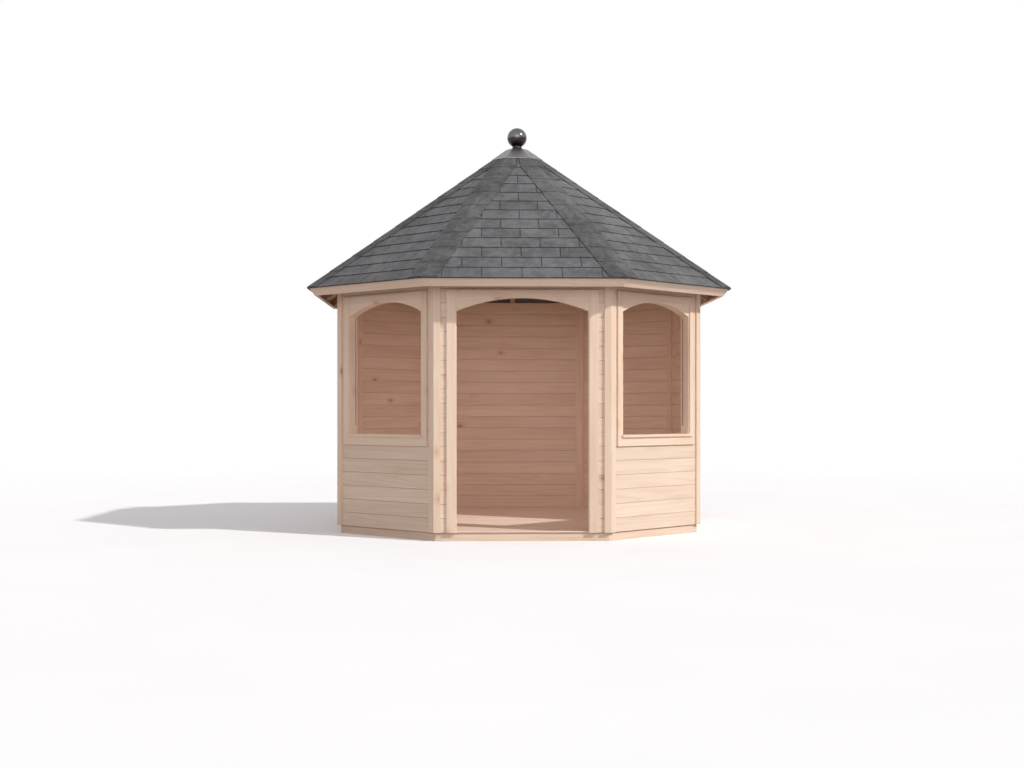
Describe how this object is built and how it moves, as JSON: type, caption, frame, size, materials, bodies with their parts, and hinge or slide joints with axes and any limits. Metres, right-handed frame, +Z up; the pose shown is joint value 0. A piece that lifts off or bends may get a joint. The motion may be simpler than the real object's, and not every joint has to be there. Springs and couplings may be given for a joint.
{
  "type": "garden gazebo",
  "caption": "Octagonal timber garden gazebo with an open arched doorway, open arched front windows, boarded walls and a shingled pyramid roof with a ball finial.",
  "frame": {"origin": "on the ground under the middle of the building", "axes": "+Z up; the open doorway faces -Y; +X to the right as seen from in front of the doorway"},
  "size_m": [3.722, 3.722, 3.714],
  "materials": {
    "wall_timber": "planed softwood boards, matt clear treatment",
    "trim_timber": "planed softwood, matt clear treatment",
    "floor_timber": "planed softwood floor boards, matt",
    "base_timber": "planed softwood bearers, matt",
    "roof_timber": "sawn and planed softwood, matt",
    "shingle": "mineral-surfaced bitumen shingles, rough and matt",
    "cap_metal": "dark grey coated sheet, satin",
    "finial_metal": "dark grey coated metal, glossy"
  },
  "bodies": {
    "root": {"apex_cap": "cap_metal", "back_left_wall": "wall_timber", "back_right_wall": "wall_timber", "back_wall": "wall_timber", "base_frame": "base_timber", "corner_cover_back_left": "trim_timber", "corner_cover_back_right": "trim_timber", "corner_cover_front_left": "trim_timber", "corner_cover_front_right": "trim_timber", "corner_cover_left_back": "trim_timber", "corner_cover_left_front": "trim_timber", "corner_cover_right_back": "trim_timber", "corner_cover_right_front": "trim_timber", "door_casing": "trim_timber", "door_frame": "trim_timber", "fascia": "trim_timber", "finial": "finial_metal", "floor_deck": "floor_timber", "front_left_wall": "wall_timber", "front_right_wall": "wall_timber", "front_wall_head": "wall_timber", "front_wall_left": "wall_timber", "front_wall_right": "wall_timber", "hip_caps": "shingle", "hip_rafters": "roof_timber", "inside_corner_covers": "trim_timber", "king_block": "roof_timber", "left_wall": "wall_timber", "mid_rafters": "roof_timber", "right_wall": "wall_timber", "roof_boards_back": "roof_timber", "roof_boards_back_left": "roof_timber", "roof_boards_back_right": "roof_timber", "roof_boards_front": "roof_timber", "roof_boards_front_left": "roof_timber", "roof_boards_front_right": "roof_timber", "roof_boards_left": "roof_timber", "roof_boards_right": "roof_timber", "shingle_cover": "shingle", "window_casing_left": "trim_timber", "window_casing_right": "trim_timber", "window_frame_left": "trim_timber", "window_frame_right": "trim_timber", "window_sill_left": "trim_timber", "window_sill_right": "trim_timber"}
  },
  "joints": []
}
